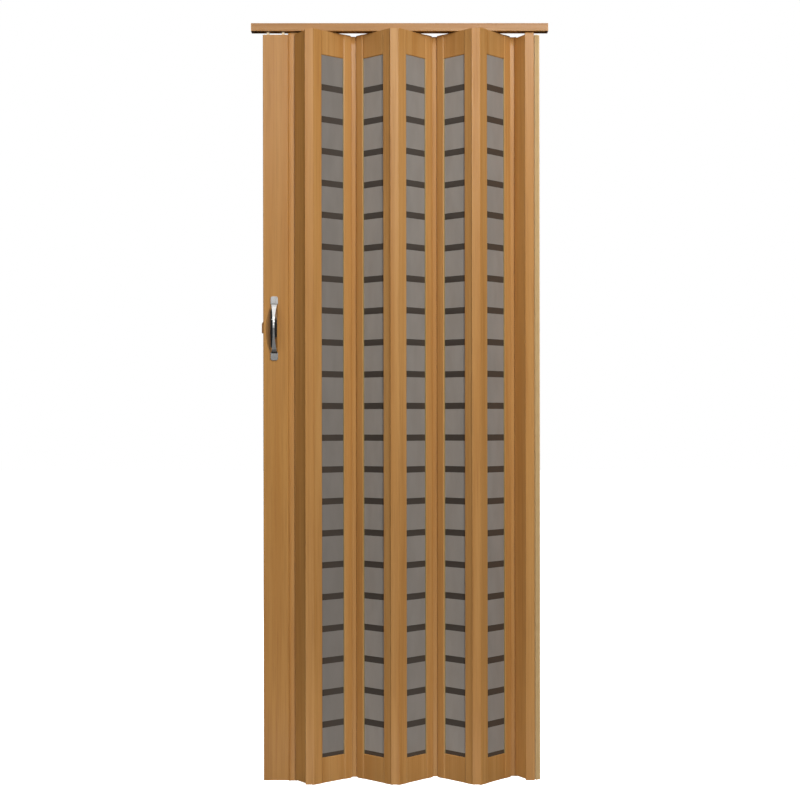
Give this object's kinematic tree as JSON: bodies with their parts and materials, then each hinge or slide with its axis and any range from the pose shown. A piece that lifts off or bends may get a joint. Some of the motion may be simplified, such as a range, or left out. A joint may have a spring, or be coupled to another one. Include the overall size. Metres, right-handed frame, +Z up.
{
  "type": "folding door",
  "caption": "Folding door of hollow wood-look plastic leaves with glazed panels, hung from a top rail and drawn part way closed.",
  "frame": {"origin": "centre of the top face of the rail, which is screwed up to the lintel", "axes": "+X along the rail towards the wall side, +Y away from the viewer of the picture, +Z up"},
  "size_m": [0.8, 0.1171, 2.042],
  "materials": {
    "wood_decor": "vertical light wood grain film, satin",
    "satin_pane": "satin squares with clear bars between",
    "glazing_bead": "satin",
    "handle_chrome": "polished",
    "glider_nylon": "plain",
    "catch_plastic": "satin",
    "cap_plastic": "satin"
  },
  "bodies": {
    "root": {"back_handle": "handle_chrome", "front_handle": "handle_chrome", "front_hinge_strip_1": "wood_decor", "front_hinge_strip_2": "wood_decor", "front_hinge_strip_3": "wood_decor", "jamb_hinge_strip": "wood_decor", "jamb_narrow_leaf": "wood_decor", "jamb_profile": "wood_decor", "lead_hinge_strip": "wood_decor", "lead_narrow_leaf": "wood_decor", "lead_post": "wood_decor", "leaf_1_boards": "wood_decor", "leaf_1_glass": "satin_pane", "leaf_1_glazing_beads": "glazing_bead", "leaf_1_left_stile": "wood_decor", "leaf_1_right_stile": "wood_decor", "leaf_2_boards": "wood_decor", "leaf_2_glass": "satin_pane", "leaf_2_glazing_beads": "glazing_bead", "leaf_2_left_stile": "wood_decor", "leaf_2_right_stile": "wood_decor", "leaf_3_boards": "wood_decor", "leaf_3_glass": "satin_pane", "leaf_3_glazing_beads": "glazing_bead", "leaf_3_left_stile": "wood_decor", "leaf_3_right_stile": "wood_decor", "leaf_4_boards": "wood_decor", "leaf_4_glass": "satin_pane", "leaf_4_glazing_beads": "glazing_bead", "leaf_4_left_stile": "wood_decor", "leaf_4_right_stile": "wood_decor", "leaf_5_boards": "wood_decor", "leaf_5_glass": "satin_pane", "leaf_5_glazing_beads": "glazing_bead", "leaf_5_left_stile": "wood_decor", "leaf_5_right_stile": "wood_decor", "leaf_gliders": "glider_nylon", "post_gliders": "glider_nylon", "rail_end_caps": "cap_plastic", "rear_hinge_strip_1": "wood_decor", "rear_hinge_strip_2": "wood_decor", "rear_hinge_strip_3": "wood_decor", "spring_catch": "catch_plastic", "top_rail": "wood_decor", "wall_strip": "wood_decor"}
  },
  "joints": []
}
